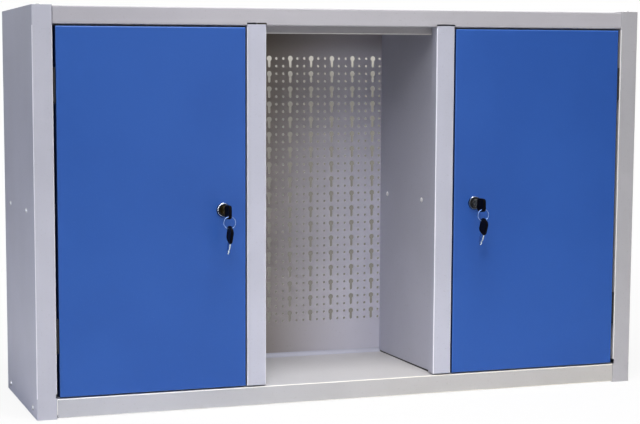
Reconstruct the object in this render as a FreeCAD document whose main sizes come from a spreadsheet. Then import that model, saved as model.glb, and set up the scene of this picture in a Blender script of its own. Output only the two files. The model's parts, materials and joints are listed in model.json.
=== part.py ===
import FreeCAD, Part
import Sketcher
import math
import os
from types import SimpleNamespace

# Wall cabinet for tools: two lockable steel doors either side of an open bay with a perforated panel.
# X runs along the cabinet, Y runs from the doors to the wall and Z is up.
# The origin is the middle of the casing's footprint. Lengths are in millimetres.

Vector = FreeCAD.Vector

# Driving dimensions
drivingDimensions = {
    # casing
    "casingWidth": 980,
    "casingHeight": 600,
    "casingDepth": 260,
    "casingSheet": 1.2,
    "bendRadius": 2,
    "postWidth": 30,
    "postLipDepth": 18,
    "sideRearFlange": 20,
    "railHeight": 25.8,
    "railReturnDepth": 20,
    "stopLipHeight": 11,
    "stopHemDepth": 5,
    "rearFlangeHeight": 30,
    "floorHeight": 30,
    "floorReturnDepth": 18,
    "floorEndFlange": 18,
    "floorEndMargin": 25,
    "seamGap": 0.4,
    "footSeamGap": 0.9,
    "lipNotchHeight": 8,
    # partitions
    "partitionOffset": 153.5,
    "partitionWidth": 30,
    "partitionLipDepth": 18,
    "partitionWallInset": 6,
    "strikeWidth": 9,
    "partitionFlange": 17,
    "partitionFlangeMargin": 40,
    "partitionTopRise": 1.8,
    "partitionTopGap": 2.4,
    "partitionFootGap": 2.3,
    "notchClearance": 0.5,
    # perforated panel
    "panelRecess": 28,
    "panelFootGap": 7,
    "panelHeadGap": 8,
    "keyholeColumnStep": 36.75,
    "keyholeRowStep": 25,
    "keyholeTopRow": 527.7,
    "keyholeHead": 9,
    "keyholeSlot": 4.6,
    "keyholeDrop": 12.5,
    # rear panels and wall holes
    "rearPanelLap": 6,
    "wallHoleSpacing": 760,
    "wallHoleRise": 480,
    "wallHoleLow": 70,
    "wallHoleDiameter": 9,
    # shelves
    "shelfTop": 312,
    "shelfFlange": 20,
    "shelfSetback": 34,
    "shelfRearGap": 3,
    "shelfScrewDrop": 10,
    "shelfScrewFront": 64,
    "shelfScrewSpacing": 138,
    # doors
    "doorSheet": 1.0,
    "doorDepth": 18,
    "doorEdgeRadius": 2,
    "doorHem": 12,
    "hingeGap": 4,
    "lockGap": 2.3,
    "doorHeadGap": 2.7,
    "doorFootGap": 2.2,
    # hinges
    "hingeLength": 50,
    "hingeSetback": 2.2,
    "hingeLeafDepth": 16,
    "hingeLeafSheet": 1.0,
    "hingeKnuckleRadius": 1.7,
    "hingeKnuckleGap": 0.3,
    "hingePinRadius": 0.9,
    "hingePinHead": 0.8,
    "hingePinClearance": 0.05,
    "hingeHeadMargin": 60,
    "hingeFootMargin": 65,
    # screws
    "screwHeadRadius": 4,
    "screwHeadHeight": 2,
    "screwShankRadius": 2,
    "screwLength": 7,
    "screwHoleClearance": 0.1,
    "topScrewInset": 12,
    "topScrewSetback": 14,
    "baseScrewHeight": 13,
    "baseScrewSetback": 33,
    # cam lock
    "lockEdgeDistance": 35.2,
    "lockHeight": 300.6,
    "lockBezelRadius": 10.7,
    "lockBezelHeight": 2.6,
    "lockBezelSlope": 1.4,
    "lockBarrelRadius": 9,
    "lockBarrelLength": 19,
    "lockPlugRadius": 6,
    "lockPlugLip": 0.5,
    "lockPlugClearance": 0.05,
    "lockNutWidth": 24,
    "lockNutHeight": 4,
    "camSquare": 7,
    "camWidth": 14,
    "camCorner": 5,
    "camSheet": 2,
    "camLength": 46,
    "camScrewRadius": 5,
    "camScrewHeight": 2,
    # keys
    "keySlotClearance": 0.2,
    "keyBladeSheet": 2,
    "keyBladeWidth": 8,
    "keyBladeLength": 20.5,
    "keyInsertion": 11,
    "keyShoulderWidth": 10,
    "keyTangLength": 7,
    "keyBowLength": 24,
    "keyBowWidth": 20.5,
    "keyBowDrop": 1.6,
    "keyBowSheet": 4.4,
    "keyBowCorner": 6,
    "keyBitDepth": 1.6,
    "keyHoleRadius": 1.9,
    "keyHoleFromEnd": 5.5,
    "keyHoleOffset": 7,
    "ringRadius": 9,
    "ringWireRadius": 0.7,
    "ringSeatGap": 0.6,
    "spareTilt": 25,
    # cuts run past the face that they open by this much
    "overrun": 5,
}
keyholeColumns = 8
keyholeRows = 18
headFlats = 6
footFlats = 3
wireFlats = 8
sameWithin = 1e-6


# A size keeps its number and the sheet formula that gives it, so that arithmetic on sizes
# gives both the place of a point and the expression that binds it to the sheet.
class Size:
    def __init__(self, value, text):
        self.value = float(value)
        self.text = text

    def _join(self, other, sign, result, swapped=False):
        otherText = other.text if isinstance(other, Size) else repr(other)
        left, right = (otherText, self.text) if swapped else (self.text, otherText)
        return Size(result, "(%s %s %s)" % (left, sign, right))

    def __add__(self, other):
        return self._join(other, "+", self.value + number(other))

    def __radd__(self, other):
        return self._join(other, "+", number(other) + self.value, True)

    def __sub__(self, other):
        return self._join(other, "-", self.value - number(other))

    def __rsub__(self, other):
        return self._join(other, "-", number(other) - self.value, True)

    def __mul__(self, other):
        return self._join(other, "*", self.value * number(other))

    def __rmul__(self, other):
        return self._join(other, "*", number(other) * self.value, True)

    def __truediv__(self, other):
        return self._join(other, "/", self.value / number(other))

    def __neg__(self):
        return Size(-self.value, "(-%s)" % self.text)


def number(size):
    return size.value if isinstance(size, Size) else float(size)


def formula(size):
    return size.text if isinstance(size, Size) else repr(size)


doc = FreeCAD.newDocument("ToolCabinet")
sheet = doc.addObject("Spreadsheet::Sheet", "Dims")
for row, (alias, length) in enumerate(drivingDimensions.items(), start=1):
    sheet.set("A%d" % row, alias)
    sheet.set("B%d" % row, str(length))
    sheet.setAlias("B%d" % row, alias)
doc.recompute()
dim = SimpleNamespace(**{alias: Size(length, "Dims." + alias)
                         for alias, length in drivingDimensions.items()})

# Places that several pieces share. Y is measured back from the casing's front face in every body.
halfWidth = dim.casingWidth / 2
innerSide = halfWidth - dim.casingSheet
postEdge = halfWidth - dim.postWidth
postLipInner = postEdge + dim.casingSheet
railTop = dim.casingHeight - dim.casingSheet
railLow = railTop - dim.railHeight
ceiling = railTop - dim.casingSheet
floorUnder = dim.floorHeight - dim.casingSheet
sideRearFace = dim.casingDepth - dim.casingSheet
railRearFace = sideRearFace - dim.casingSheet
rearPanelFace = railRearFace - dim.casingSheet
panelFace = dim.casingDepth - dim.panelRecess
partitionIn = dim.partitionOffset - dim.partitionWidth / 2
partitionOut = dim.partitionOffset + dim.partitionWidth / 2
wallNear = partitionIn + dim.partitionWallInset
wallFar = wallNear + dim.casingSheet
partitionFlangeEnd = wallFar + dim.partitionFlange
partitionTop = railLow + dim.partitionTopRise
stopRear = dim.railReturnDepth + dim.stopHemDepth
doorLockEdge = partitionOut + dim.lockGap
doorHingeEdge = postEdge - dim.hingeGap
doorLow = dim.floorHeight + dim.doorFootGap
doorTop = railLow - dim.doorHeadGap
hingeAxis = postEdge - dim.hingeGap / 2
lockPlace = doorLockEdge + dim.lockEdgeDistance
shelfScrewHeight = dim.shelfTop - dim.shelfScrewDrop
shelfScrewRear = dim.shelfScrewFront + dim.shelfScrewSpacing
baseScrewRear = dim.casingDepth - dim.baseScrewSetback
topScrewRear = dim.casingDepth - dim.topScrewSetback
topScrewPlace = halfWidth - dim.topScrewInset
screwHoleRadius = dim.screwShankRadius + dim.screwHoleClearance
nodes = []


# A body on the line that stands at one place across the casing and at one height
def makeBody(label, across=0, up=0):
    body = doc.addObject("PartDesign::Body", label)
    body.Label = label
    bindPlace(body, (across, 0, up))
    nodes.append(body)
    return body


# Sets an object down at (across, back from the front face, up)
def bindPlace(item, place):
    across, back, up = place
    item.setExpression("Placement.Base.x", formula(across))
    item.setExpression("Placement.Base.y", formula(back - dim.casingDepth / 2))
    item.setExpression("Placement.Base.z", formula(up))


# A sketch on one of the body's own origin planes, moved along that plane's axis
def makeSketch(body, plane, distance):
    sketch = body.newObject("Sketcher::SketchObject", "Sketch")
    role = plane + "_Plane"
    sketch.AttachmentSupport = [(next(f for f in body.Origin.OriginFeatures if f.Role == role), "")]
    sketch.MapMode = "FlatFace"
    offset = -distance if plane == "XZ" else distance
    sketch.setExpression("AttachmentOffset.Base.z", formula(offset))
    return sketch


def constrain(sketch, kind, geometry, *rest):
    size = rest[-1]
    index = sketch.addConstraint(Sketcher.Constraint(kind, geometry, *rest[:-1], number(size)))
    if isinstance(size, Size):
        sketch.setExpression("Constraints[%d]" % index, size.text)


# Ties a point of the sketch to the origin by its two coordinates
def pinPoint(sketch, geometry, position, point):
    for kind, axis, size in (("DistanceX", -2, point[0]), ("DistanceY", -1, point[1])):
        if number(size) == 0:
            sketch.addConstraint(Sketcher.Constraint("PointOnObject", geometry, position, axis))
        elif number(size) > 0:
            constrain(sketch, kind, -1, 1, geometry, position, size)
        else:
            constrain(sketch, kind, geometry, position, -1, 1, -size)


def unit(start, end):
    run = (number(end[0]) - number(start[0]), number(end[1]) - number(start[1]))
    length = math.hypot(*run)
    return (round(run[0] / length), round(run[1] / length))


# A closed outline. A corner is (x, y), or (x, y, radius) where two straight runs along the axes
# meet in a round bend.
def drawOutline(sketch, corners):
    points, bends = [], {}
    for index, corner in enumerate(corners):
        if len(corner) == 2:
            points.append(corner)
            continue
        x, y, radius = corner
        before = unit(corners[index - 1], corner)
        after = unit(corner, corners[(index + 1) % len(corners)])
        bends[len(points)] = (radius, before, after)
        points.append((x - before[0] * radius, y - before[1] * radius))
        points.append((x + after[0] * radius, y + after[1] * radius))
    places = [Vector(number(x), number(y), 0) for x, y in points]
    made = []
    for index, start in enumerate(places):
        end = places[(index + 1) % len(places)]
        if index not in bends:
            made.append((sketch.addGeometry(Part.LineSegment(start, end), False), 1, 2))
            continue
        radius, before, after = bends[index]
        centre = start + Vector(*after, 0) * number(radius)
        turnsLeft = before[0] * after[1] - before[1] * after[0] > 0
        first, last = (start, end) if turnsLeft else (end, start)
        angles = [math.atan2(p.y - centre.y, p.x - centre.x) for p in (first, last)]
        arc = Part.ArcOfCircle(Part.Circle(centre, Vector(0, 0, 1), number(radius)), *angles)
        made.append((sketch.addGeometry(arc, False), 1 if turnsLeft else 2, 2 if turnsLeft else 1))
    for index, (geometry, start, end) in enumerate(made):
        following = made[(index + 1) % len(made)]
        sketch.addConstraint(Sketcher.Constraint("Coincident", geometry, end, following[0], following[1]))
        if index in bends:
            constrain(sketch, "Radius", geometry, bends[index][0])
        pinPoint(sketch, geometry, start, points[index])


def drawCircle(sketch, x, y, radius):
    circle = Part.Circle(Vector(number(x), number(y), 0), Vector(0, 0, 1), number(radius))
    geometry = sketch.addGeometry(circle, False)
    constrain(sketch, "Radius", geometry, radius)
    pinPoint(sketch, geometry, 3, (x, y))


def rectangle(low, high):
    return [low, (high[0], low[1]), high, (low[0], high[1])]


# A pad between two places along the plane's axis, or a cut where cut is set.
# Outlines are lists of corners and circles are (x, y, radius).
def prism(body, plane, low, high, outlines=(), circles=(), cut=False):
    backwards = plane == "XZ"
    fromHigh = cut and not backwards
    sketch = makeSketch(body, plane, high if fromHigh else low)
    for corners in outlines:
        drawOutline(sketch, corners)
    for circle in circles:
        drawCircle(sketch, *circle)
    volume = body.Shape.Volume if cut else 0
    feature = body.newObject("PartDesign::Pocket" if cut else "PartDesign::Pad", "Cut" if cut else "Pad")
    feature.Profile = sketch
    feature.setExpression("Length", formula(high - low))
    if not cut:
        feature.Reversed = backwards
    doc.recompute()
    if cut and body.Shape.Volume >= volume:
        raise RuntimeError("a cut in %s removes nothing" % body.Label)
    return feature


# Rounds the edges whose every corner passes the test
def roundEdges(body, radius, wanted):
    base = body.Tip
    names = []
    for index, edge in enumerate(base.Shape.Edges, start=1):
        if all(wanted(vertex.Point) for vertex in edge.Vertexes):
            names.append("Edge%d" % index)
    fillet = body.newObject("PartDesign::Fillet", "Fillet")
    fillet.Base = (base, names)
    fillet.setExpression("Radius", formula(radius))
    doc.recompute()


def same(place, size):
    return math.isclose(place, number(size), abs_tol=sameWithin)


# A turned piece about the Y axis, from corners of (place along the axis, radius)
def turned(body, corners):
    sketch = makeSketch(body, "XY", 0)
    drawOutline(sketch, [(radius, along) for along, radius in corners])
    turn = body.newObject("PartDesign::Revolution", "Turn")
    turn.Profile = sketch
    turn.ReferenceAxis = (sketch, ["V_Axis"])
    turn.Angle = 360
    doc.recompute()


# Side panel: one sheet folded into the front post, the side and the rear flange, with end flanges.
# The post's lip is notched at the floor, where the fold starts.
def sidePanel(label, side):
    body = makeBody(label)
    outer, inner = side * halfWidth, side * innerSide
    flangeEnd = side * (halfWidth - dim.sideRearFlange)
    section = [
        (outer, 0, dim.bendRadius),
        (outer, dim.casingDepth, dim.bendRadius),
        (flangeEnd, dim.casingDepth),
        (flangeEnd, sideRearFace),
        (inner, sideRearFace),
        (inner, dim.casingSheet),
        (side * postLipInner, dim.casingSheet),
        (side * postLipInner, dim.postLipDepth),
        (side * postEdge, dim.postLipDepth),
        (side * postEdge, 0, dim.bendRadius),
    ]
    prism(body, "XY", 0, dim.casingHeight, [section])
    ledge = rectangle((side * postLipInner, dim.casingSheet), (inner, sideRearFace))
    prism(body, "XY", 0, dim.casingSheet, [ledge])
    prism(body, "XY", railTop, dim.casingHeight, [ledge])
    notch = rectangle((side * (postEdge - dim.overrun), -dim.overrun),
                      (side * (postEdge + dim.bendRadius), dim.postLipDepth + dim.overrun))
    prism(body, "XY", dim.floorHeight, dim.floorHeight + dim.lipNotchHeight, [notch], cut=True)
    shelfHoles = [(y, shelfScrewHeight, screwHoleRadius) for y in (dim.shelfScrewFront, shelfScrewRear)]
    baseHoles = [(y, dim.baseScrewHeight, screwHoleRadius) for y in (dim.baseScrewSetback, baseScrewRear)]
    low, high = sorted((inner, outer), key=number)
    prism(body, "YZ", low, high, circles=shelfHoles + baseHoles, cut=True)
    topHoles = [(side * topScrewPlace, y, screwHoleRadius) for y in (dim.topScrewSetback, topScrewRear)]
    prism(body, "XY", railTop, dim.casingHeight, circles=topHoles, cut=True)


# Clears the corners of the top and bottom panels round the posts
def clearPosts(body, low, high, gap):
    for side in (-1, 1):
        near = (side * (postEdge - gap), -dim.overrun)
        far = (side * (innerSide + dim.overrun), dim.postLipDepth + gap)
        prism(body, "XY", low, high, [rectangle(near, far)], cut=True)


# Top panel: roof, front rail and the door stop that hangs behind the rail, with a rear flange.
# The rail is notched over each partition.
def topPanel():
    body = makeBody("top_panel")
    stopFace = dim.railReturnDepth - dim.casingSheet
    stopLow = railLow - dim.stopLipHeight
    flangeLow = railTop - dim.rearFlangeHeight
    section = [
        (sideRearFace, flangeLow),
        (sideRearFace, railTop, dim.bendRadius),
        (0, railTop, dim.bendRadius),
        (0, railLow, dim.bendRadius),
        (stopFace, railLow),
        (stopFace, stopLow, dim.bendRadius),
        (stopRear, stopLow),
        (stopRear, stopLow + dim.casingSheet),
        (dim.railReturnDepth, stopLow + dim.casingSheet),
        (dim.railReturnDepth, railLow + dim.casingSheet),
        (dim.casingSheet, railLow + dim.casingSheet),
        (dim.casingSheet, ceiling),
        (railRearFace, ceiling),
        (railRearFace, flangeLow),
    ]
    prism(body, "YZ", -innerSide, innerSide, [section])
    clearPosts(body, stopLow, railTop, dim.seamGap)
    notchTop = partitionTop + dim.partitionTopGap
    for side in (-1, 1):
        near = (side * (partitionIn - dim.notchClearance), stopLow)
        far = (side * (partitionOut + dim.notchClearance), notchTop)
        prism(body, "XZ", 0, stopRear, [rectangle(near, far)], cut=True)
    rearHoles = [(side * topScrewPlace, topScrewRear, screwHoleRadius) for side in (-1, 1)]
    prism(body, "XY", ceiling, railTop, circles=rearHoles, cut=True)


# Bottom panel: floor, front rail and a rear flange that stands up behind the rear panels, with end
# flanges for the base screws
def bottomPanel():
    body = makeBody("bottom_panel")
    low = dim.casingSheet
    section = [
        (dim.floorReturnDepth, low),
        (0, low, dim.bendRadius),
        (0, dim.floorHeight, dim.bendRadius),
        (railRearFace, dim.floorHeight),
        (railRearFace, dim.floorHeight + dim.rearFlangeHeight),
        (sideRearFace, dim.floorHeight + dim.rearFlangeHeight),
        (sideRearFace, floorUnder, dim.bendRadius),
        (dim.casingSheet, floorUnder),
        (dim.casingSheet, low + dim.casingSheet),
        (dim.floorReturnDepth, low + dim.casingSheet),
    ]
    prism(body, "YZ", -innerSide, innerSide, [section])
    clearPosts(body, low, dim.floorHeight, dim.footSeamGap)
    flange = rectangle((dim.floorEndMargin, dim.floorHeight - dim.floorEndFlange),
                       (dim.casingDepth - dim.floorEndMargin, floorUnder))
    holes = [(y, dim.baseScrewHeight, screwHoleRadius) for y in (dim.baseScrewSetback, baseScrewRear)]
    for side in (-1, 1):
        ends = sorted((side * innerSide, side * (innerSide - dim.casingSheet)), key=number)
        prism(body, "YZ", *ends, [flange])
        prism(body, "YZ", *ends, circles=holes, cut=True)


# Partition: the folded post between door and open bay, with the strike for the cam, and the wall
# behind it with flanges to the floor, the roof and the perforated panel. Only the flange's bend
# stands on the floor.
def partition(label, side):
    body = makeBody(label)
    jogFace = dim.partitionLipDepth - dim.casingSheet
    rearFlangeFace = panelFace - dim.casingSheet
    flangeEnd = side * partitionFlangeEnd
    section = [
        (side * wallNear, panelFace),
        (side * wallNear, dim.partitionLipDepth),
        (side * partitionIn, dim.partitionLipDepth),
        (side * partitionIn, 0, dim.bendRadius),
        (side * partitionOut, 0, dim.bendRadius),
        (side * partitionOut, dim.partitionLipDepth),
        (side * (partitionOut - dim.strikeWidth), dim.partitionLipDepth),
        (side * (partitionOut - dim.strikeWidth), jogFace),
        (side * (partitionOut - dim.casingSheet), jogFace),
        (side * (partitionOut - dim.casingSheet), dim.casingSheet),
        (side * (partitionIn + dim.casingSheet), dim.casingSheet),
        (side * (partitionIn + dim.casingSheet), jogFace),
        (side * wallFar, jogFace),
        (side * wallFar, rearFlangeFace),
        (flangeEnd, rearFlangeFace),
        (flangeEnd, panelFace),
    ]
    prism(body, "XY", dim.floorHeight, ceiling, [section])
    near, far = side * (partitionIn - dim.overrun), side * (partitionOut + dim.overrun)
    flangeRear = panelFace - dim.partitionFlangeMargin
    frontFoot = rectangle((near, -dim.overrun), (far, dim.partitionFlangeMargin))
    rearFoot = rectangle((near, flangeRear), (far, panelFace + dim.overrun))
    footTop = dim.floorHeight + dim.partitionFootGap
    prism(body, "XY", dim.floorHeight, footTop, [frontFoot, rearFoot], cut=True)
    headZone = rectangle((near, -dim.overrun), (far, stopRear + dim.seamGap))
    prism(body, "XY", partitionTop, ceiling, [headZone], cut=True)
    flange = rectangle((side * wallFar, dim.partitionFlangeMargin), (flangeEnd, flangeRear))
    prism(body, "XY", dim.floorHeight, dim.floorHeight + dim.casingSheet, [flange])
    roundEdges(body, dim.bendRadius, lambda p: same(p.x, side * wallNear) and same(p.z, dim.floorHeight))
    prism(body, "XY", ceiling - dim.casingSheet, ceiling, [flange])
    holes = [(y, shelfScrewHeight, screwHoleRadius) for y in (dim.shelfScrewFront, shelfScrewRear)]
    low, high = sorted((side * wallNear, side * wallFar), key=number)
    prism(body, "YZ", low, high, circles=holes, cut=True)


# One keyhole: a round head over a slot with a round foot, drawn in short flats
def keyholeOutline(x, z):
    head, slot = dim.keyholeHead / 2, dim.keyholeSlot / 2
    opening = math.acos(number(slot) / number(head))
    corners = []
    for step in range(headFlats + 1):
        angle = (math.pi + 2 * opening) * step / headFlats - opening
        corners.append((x + head * math.cos(angle), z + head * math.sin(angle)))
    for step in range(footFlats + 1):
        angle = math.pi + math.pi * step / footFlats
        corners.append((x + slot * math.cos(angle), z - dim.keyholeDrop + slot * math.sin(angle)))
    return corners


# Perforated panel of the open bay: a tray behind the partitions, with flanges towards the wall
# that stand on the rear panels, pierced by rows of keyholes for tool hooks
def perforatedPanel():
    body = makeBody("perforated_panel")
    outer, inner = partitionFlangeEnd, partitionFlangeEnd - dim.casingSheet
    section = [
        (-outer, rearPanelFace),
        (-outer, panelFace, dim.bendRadius),
        (outer, panelFace, dim.bendRadius),
        (outer, rearPanelFace),
        (inner, rearPanelFace),
        (inner, panelFace + dim.casingSheet),
        (-inner, panelFace + dim.casingSheet),
        (-inner, rearPanelFace),
    ]
    prism(body, "XY", dim.floorHeight + dim.panelFootGap, ceiling - dim.panelHeadGap, [section])
    first = keyholeOutline(dim.keyholeColumnStep * (1 - keyholeColumns) / 2, dim.keyholeTopRow)
    hole = prism(body, "XZ", panelFace, panelFace + dim.casingSheet, [first], cut=True)
    repeats = []
    for axis, step, count, downwards in (("H_Axis", dim.keyholeColumnStep, keyholeColumns, False),
                                         ("V_Axis", dim.keyholeRowStep, keyholeRows, True)):
        pattern = body.newObject("PartDesign::LinearPattern", "Repeat")
        pattern.Direction = (hole.Profile[0], [axis])
        pattern.Reversed = downwards
        pattern.setExpression("Length", formula(step * (count - 1)))
        pattern.Occurrences = count
        repeats.append(pattern)
    grid = body.newObject("PartDesign::MultiTransform", "Grid")
    grid.Originals = [hole]
    grid.Transformations = repeats
    body.Tip = grid
    doc.recompute()


# Rear panel: closes a lockable bay in the wall plane, laps the perforated panel's flange and holds
# the wall holes
def rearPanel(label, side):
    body = makeBody(label)
    inner = partitionFlangeEnd - dim.rearPanelLap
    low, high = sorted((side * inner, side * innerSide), key=number)
    prism(body, "XZ", rearPanelFace, railRearFace, [rectangle((low, dim.floorHeight), (high, ceiling))])
    place, radius = side * dim.wallHoleSpacing / 2, dim.wallHoleDiameter / 2
    holes = [(place, z, radius) for z in (dim.wallHoleLow, dim.wallHoleLow + dim.wallHoleRise)]
    prism(body, "XZ", rearPanelFace, railRearFace, circles=holes, cut=True)


# Shelf: a tray turned over, screwed through its end flanges
def shelf(label, side):
    body = makeBody(label)
    low, high = sorted((side * wallFar, side * innerSide), key=number)
    front, rear = dim.shelfSetback, panelFace - dim.casingSheet - dim.shelfRearGap
    base = dim.shelfTop - dim.shelfFlange
    prism(body, "XY", base, dim.shelfTop, [rectangle((low, front), (high, rear))])
    roundEdges(body, dim.bendRadius, lambda p: same(p.y, front) and same(p.z, dim.shelfTop))
    inside = rectangle((low + dim.casingSheet, front + dim.casingSheet),
                       (high - dim.casingSheet, rear - dim.casingSheet))
    prism(body, "XY", base, dim.shelfTop - dim.casingSheet, [inside], cut=True)
    holes = [(y, shelfScrewHeight, screwHoleRadius) for y in (dim.shelfScrewFront, shelfScrewRear)]
    prism(body, "YZ", low, high, circles=holes, cut=True)


# Door: a folded tray with hems along its rear edges and the hole for its lock
def doorPanel(label, side):
    body = makeBody(label)
    low, high = sorted((side * doorLockEdge, side * doorHingeEdge), key=number)
    prism(body, "XZ", 0, dim.doorDepth, [rectangle((low, doorLow), (high, doorTop))])
    roundEdges(body, dim.doorEdgeRadius, lambda p: same(p.y, 0))
    inside = rectangle((low + dim.doorSheet, doorLow + dim.doorSheet),
                       (high - dim.doorSheet, doorTop - dim.doorSheet))
    mouth = rectangle((low + dim.doorHem, doorLow + dim.doorHem),
                      (high - dim.doorHem, doorTop - dim.doorHem))
    prism(body, "XZ", dim.doorSheet, dim.doorDepth, [inside], cut=True)
    prism(body, "XZ", dim.doorDepth - dim.doorSheet, dim.doorDepth, [inside, mouth])
    hole = (side * lockPlace, dim.lockHeight, dim.lockBarrelRadius)
    prism(body, "XZ", 0, dim.doorSheet, circles=[hole], cut=True)


# An upright or crosswise rod with its foot at a place
def rod(radius, height, place, direction=Vector(0, 0, 1)):
    cylinder = doc.addObject("Part::Cylinder", "Rod")
    cylinder.setExpression("Radius", formula(radius))
    cylinder.setExpression("Height", formula(height))
    cylinder.Placement = FreeCAD.Placement(Vector(), FreeCAD.Rotation(Vector(0, 0, 1), direction))
    bindPlace(cylinder, place)
    return cylinder


def block(low, high):
    box = doc.addObject("Part::Box", "Block")
    for name, start, end in zip(("Length", "Width", "Height"), low, high):
        box.setExpression(name, formula(end - start))
    bindPlace(box, low)
    return box


def join(pieces, kind="Part::MultiFuse", label="Joined"):
    joined = doc.addObject(kind, label)
    if kind == "Part::Compound":
        joined.Links = pieces
    else:
        joined.Shapes = pieces
    return joined


def cutAway(base, tool, label):
    cut = doc.addObject("Part::Cut", label)
    cut.Base = base
    cut.Tool = tool
    return cut


def keep(item, label):
    item.Label = label
    nodes.append(item)


# Hinge leaf: a plate on one side of the gap, curled round the pin at its own knuckles
def hingeLeaf(label, face, towards, axis, base, knuckles):
    edges = sorted((face, face + towards * dim.hingeLeafSheet), key=number)
    plateStart = dim.hingeSetback + dim.hingeKnuckleRadius + dim.hingeKnuckleGap
    pieces = [block((edges[0], plateStart, base), (edges[1], dim.hingeLeafDepth, base + dim.hingeLength))]
    for start, length in knuckles:
        low = base + start
        pieces.append(block((edges[0], dim.hingeSetback, low), (edges[1], plateStart, low + length)))
        pieces.append(rod(dim.hingeKnuckleRadius, length, (axis, dim.hingeSetback, low)))
    bore = rod(dim.hingePinRadius + dim.hingePinClearance, dim.hingeLength, (axis, dim.hingeSetback, base))
    keep(cutAway(join(pieces), bore, label), label)


# Hinge: the outer knuckles belong to the post's leaf and the middle one to the door's leaf.
# The pin stands in the middle of the gap beside the post.
def hinge(ending, side, base):
    third = (dim.hingeLength - dim.hingeKnuckleGap * 2) / 3
    step = third + dim.hingeKnuckleGap
    axis = side * hingeAxis
    outerKnuckles = [(0, third), (step * 2, third)]
    hingeLeaf("hinge_frame_leaf_" + ending, side * postEdge, -side, axis, base, outerKnuckles)
    hingeLeaf("hinge_door_leaf_" + ending, side * doorHingeEdge, side, axis, base, [(step, third)])
    shaft = rod(dim.hingePinRadius, dim.hingeLength, (axis, dim.hingeSetback, base))
    head = rod(dim.hingeKnuckleRadius, dim.hingePinHead, (axis, dim.hingeSetback, base + dim.hingeLength))
    keep(join([shaft, head]), "hinge_pin_" + ending)


# Screws with domed heads. Each points from its head into the sheets.
def screws(label, places, direction):
    group = []
    rim = dim.screwHeadHeight / 2
    for place in places:
        crown = doc.addObject("Part::Cone", "Crown")
        crown.setExpression("Radius1", formula(dim.screwHeadRadius))
        crown.setExpression("Radius2", formula(dim.screwHeadRadius - rim))
        crown.setExpression("Height", formula(rim))
        crown.Placement = FreeCAD.Placement(Vector(), FreeCAD.Rotation(Vector(0, 0, 1), -direction))
        bindPlace(crown, [p - rim * d for p, d in zip(place, direction)])
        head = rod(dim.screwHeadRadius, rim, place, -direction)
        shank = rod(dim.screwShankRadius, dim.screwLength, place, direction)
        group.append(join([crown, head, shank]))
    keep(join(group, "Part::Compound", label), label)


def allScrews():
    shelfEnds = (dim.shelfScrewFront, shelfScrewRear)
    topEnds = [(side * topScrewPlace, y, dim.casingHeight) for side in (-1, 1)
               for y in (dim.topScrewSetback, topScrewRear)]
    screws("top_screws", topEnds, Vector(0, 0, -1))
    for hand, side in (("left", -1), ("right", 1)):
        inward = Vector(-side, 0, 0)
        outer = side * halfWidth
        baseEnds = [(outer, y, dim.baseScrewHeight) for y in (dim.baseScrewSetback, baseScrewRear)]
        screws("base_screws_" + hand, baseEnds, inward)
        screws("shelf_outer_screws_" + hand, [(outer, y, shelfScrewHeight) for y in shelfEnds], inward)
        bayEnds = [(side * wallNear, y, shelfScrewHeight) for y in shelfEnds]
        screws("shelf_inner_screws_" + hand, bayEnds, -inward)


# Cam lock on its own axis: bezel and barrel, nut, turning plug with its keyway, cam and cam screw
def camLock(hand, side):
    def lockBody(name):
        return makeBody(name + "_" + hand, side * lockPlace, dim.lockHeight)

    plugFront = -dim.lockBezelHeight - dim.lockPlugLip
    bore = dim.lockPlugRadius + dim.lockPlugClearance
    turned(lockBody("lock_housing"), [
        (-dim.lockBezelHeight, bore),
        (-dim.lockBezelHeight, dim.lockBezelRadius - dim.lockBezelSlope),
        (dim.lockBezelSlope - dim.lockBezelHeight, dim.lockBezelRadius),
        (0, dim.lockBezelRadius),
        (0, dim.lockBarrelRadius),
        (dim.lockBarrelLength, dim.lockBarrelRadius),
        (dim.lockBarrelLength, bore),
    ])
    corner = dim.lockNutWidth / 2 / math.cos(math.pi / 6)
    turns = [math.pi / 3 * step for step in range(6)]
    hexagon = [(corner * math.cos(turn), corner * math.sin(turn)) for turn in turns]
    thread = (0, 0, dim.lockBarrelRadius)
    nut = lockBody("lock_nut")
    prism(nut, "XZ", dim.doorSheet, dim.doorSheet + dim.lockNutHeight, [hexagon], [thread])
    plug = lockBody("lock_plug")
    half = dim.camSquare / 2
    square = rectangle((-half, -half), (half, half))
    camRear = dim.lockBarrelLength + dim.camSheet
    prism(plug, "XZ", plugFront, dim.lockBarrelLength, circles=[(0, 0, dim.lockPlugRadius)])
    prism(plug, "XZ", dim.lockBarrelLength, camRear, [square])
    slotX = dim.keyBladeSheet / 2 + dim.keySlotClearance
    slotZ = dim.keyBladeWidth / 2 + dim.keySlotClearance
    keyway = rectangle((-slotX, -slotZ), (slotX, slotZ))
    prism(plug, "XZ", plugFront, plugFront + dim.keyInsertion + dim.keySlotClearance, [keyway], cut=True)
    cam = lockBody("lock_cam")
    width, corner = dim.camWidth / 2, dim.camCorner
    ends = rectangle((-width, -width), (width, dim.camLength))
    bar = [(x, z, corner) for x, z in ends]
    prism(cam, "XZ", dim.lockBarrelLength, camRear, [bar, square])
    screw = lockBody("cam_screw")
    prism(screw, "XZ", camRear, camRear + dim.camScrewHeight, circles=[(0, 0, dim.camScrewRadius)])


# The ring wire lies low in the key's hole and high in the spare's, clear of both by the seat gap
def ringDrop():
    return dim.keyHoleRadius - dim.ringWireRadius - dim.ringSeatGap


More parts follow.
